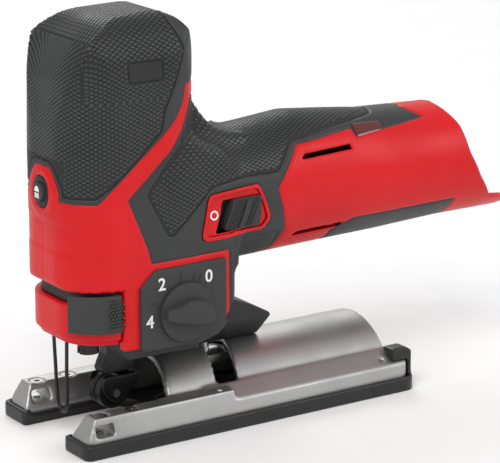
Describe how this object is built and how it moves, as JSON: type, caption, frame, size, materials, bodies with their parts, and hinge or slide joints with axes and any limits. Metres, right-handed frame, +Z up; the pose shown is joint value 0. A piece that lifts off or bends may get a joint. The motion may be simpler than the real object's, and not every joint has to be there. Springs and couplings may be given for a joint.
{
  "type": "cordless jigsaw",
  "caption": "Barrel-grip cordless jigsaw with tilting cast shoe, orbit dial, guide roller, blade clamp lever and slide switch.",
  "frame": {"origin": "middle of the bounding box at the underside of the sole", "axes": "+X towards the battery end, -Y the left side with the orbit dial, +Z up from the sole to the head"},
  "size_m": [0.243, 0.075, 0.181],
  "materials": {
    "red": "satin moulded plastic",
    "grip_rubber": "soft moulded rubber",
    "black_plastic": "matt",
    "alloy": "fine cast and tumbled",
    "grey_casting": "dark as cast",
    "steel": "machined",
    "dark_steel": "blackened",
    "bronze": "sintered",
    "copper": "enamelled wire",
    "board_green": "lacquered board",
    "red_lens": "tinted window",
    "clear_lens": "clear"
  },
  "bodies": {
    "shoe": {"sole_cover": "black_plastic", "shoe_plate": "alloy", "guide_screws": "steel"},
    "tool": {"housing_left": "red", "housing_right": "red", "nose_cap": "red", "switch_frames": "red", "head_grip": "grip_rubber", "handle_grip": "grip_rubber", "throat_pad": "grip_rubber", "tail_pad": "grip_rubber", "neck_ring": "black_plastic", "dial_plate": "black_plastic", "side_cover": "black_plastic", "button_bezel": "black_plastic", "terminal_block": "black_plastic", "switch_module": "black_plastic", "drive_frame": "alloy", "gear_case": "grey_casting", "housing_screws": "steel", "plate_screws": "steel", "lever_pin": "steel", "fork_pivot_pin": "steel", "bevel_bolt": "steel", "bevel_clamp_plate": "steel", "gear_bearing": "steel", "motor_bearings": "steel", "motor_case": "steel", "wire_guard": "dark_steel", "motor_stator": "dark_steel", "plunger_bushings": "bronze", "terminal_blades": "bronze", "stator_windings": "copper", "control_board": "board_green", "gauge_board": "board_green", "gauge_lens": "red_lens", "lamp_lens": "clear_lens"},
    "rotor": {"motor_pinion": "steel", "motor_shaft": "steel", "rotor_core": "dark_steel", "motor_fan": "black_plastic"},
    "gear": {"drive_gear": "steel", "gear_shaft": "steel", "crank_pin": "steel", "balance_weight": "steel"},
    "plunger": {"plunger_rod": "steel", "yoke": "steel", "blade_socket": "steel", "blade_clamp_collar": "dark_steel", "clamp_spring": "steel"},
    "knob": {"orbit_knob": "black_plastic", "orbit_cam_shaft": "steel"},
    "fork": {"roller_fork": "dark_steel", "roller_pin": "steel"},
    "roller": {"guide_roller": "steel"},
    "lever": {"clamp_lever": "black_plastic"},
    "switch": {"switch_slider_left": "black_plastic", "switch_slider_right": "black_plastic", "switch_link": "black_plastic"},
    "button": {"light_button": "black_plastic"}
  },
  "joints": [
    {"name": "bevel_tilt", "type": "hinge", "parent": "shoe", "child": "tool", "pos_m": [-0.034, 0, 0], "axis": [1, 0, 0], "range_deg": [-45, 45]},
    {"name": "gear_spin", "type": "hinge", "parent": "tool", "child": "gear", "pos_m": [-0.085, 0, 0.123], "axis": [1, 0, 0], "continuous": true},
    {"name": "motor_spin", "type": "hinge", "parent": "tool", "child": "rotor", "pos_m": [-0.061, 0, 0.098], "axis": [1, 0, 0], "continuous": true},
    {"name": "plunger_slide", "type": "slide", "parent": "tool", "child": "plunger", "axis": [0, 0, 1], "range_m": [-0.0095, 0.0095]},
    {"name": "orbit_turn", "type": "hinge", "parent": "tool", "child": "knob", "pos_m": [-0.067, -0.031, 0.056], "axis": [0, -1, 0], "range_deg": [-116, 22]},
    {"name": "fork_swing", "type": "hinge", "parent": "tool", "child": "fork", "pos_m": [-0.08, 0, 0.043], "axis": [0, 1, 0], "range_deg": [-2, 5]},
    {"name": "roller_spin", "type": "hinge", "parent": "fork", "child": "roller", "pos_m": [-0.088, 0, 0.016], "axis": [0, 1, 0], "continuous": true},
    {"name": "lever_swing", "type": "hinge", "parent": "tool", "child": "lever", "pos_m": [-0.0982, -0.0252, 0.056], "axis": [0, 0, 1], "range_deg": [0, 25], "stiffness_Nm_per_rad": 0.02, "springref_deg": -11.46},
    {"name": "switch_slide", "type": "slide", "parent": "tool", "child": "switch", "axis": [-1, 0, 0], "range_m": [0, 0.005]},
    {"name": "light_press", "type": "slide", "parent": "tool", "child": "button", "axis": [1, 0, 0], "range_m": [0, 0.0008], "stiffness_N_per_m": 300, "springref_m": -0.0005}
  ],
  "couplings": [
    {"joint": "motor_spin", "follows": "gear_spin", "ratio": -4.5556}
  ]
}
